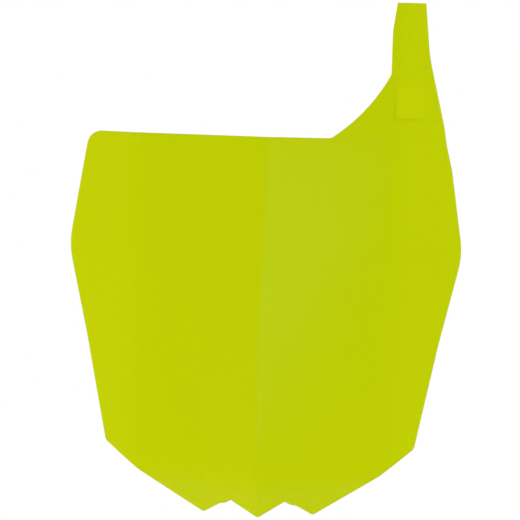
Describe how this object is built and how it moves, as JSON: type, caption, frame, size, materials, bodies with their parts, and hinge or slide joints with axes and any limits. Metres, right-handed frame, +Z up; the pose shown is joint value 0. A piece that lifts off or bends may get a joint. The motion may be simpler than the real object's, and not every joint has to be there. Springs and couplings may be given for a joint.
{
  "type": "racing number board",
  "caption": "Bare moulded number board for the front of a racing motorbike, with a ridged face, a toothed chin and a strap with a bolt tab.",
  "frame": {"origin": "under the middle of the board, level with the tip of the middle tooth, midway between the ridge and the end of the bolt tab", "axes": "+X to the right of someone facing the board, +Y to its back, +Z up; the ridged face looks along -Y"},
  "size_m": [0.2228, 0.064, 0.2948],
  "materials": {
    "fluorescent_yellow_plastic": "satin moulded polypropylene, coloured through"
  },
  "bodies": {
    "root": {"number_board": "fluorescent_yellow_plastic"}
  },
  "joints": []
}
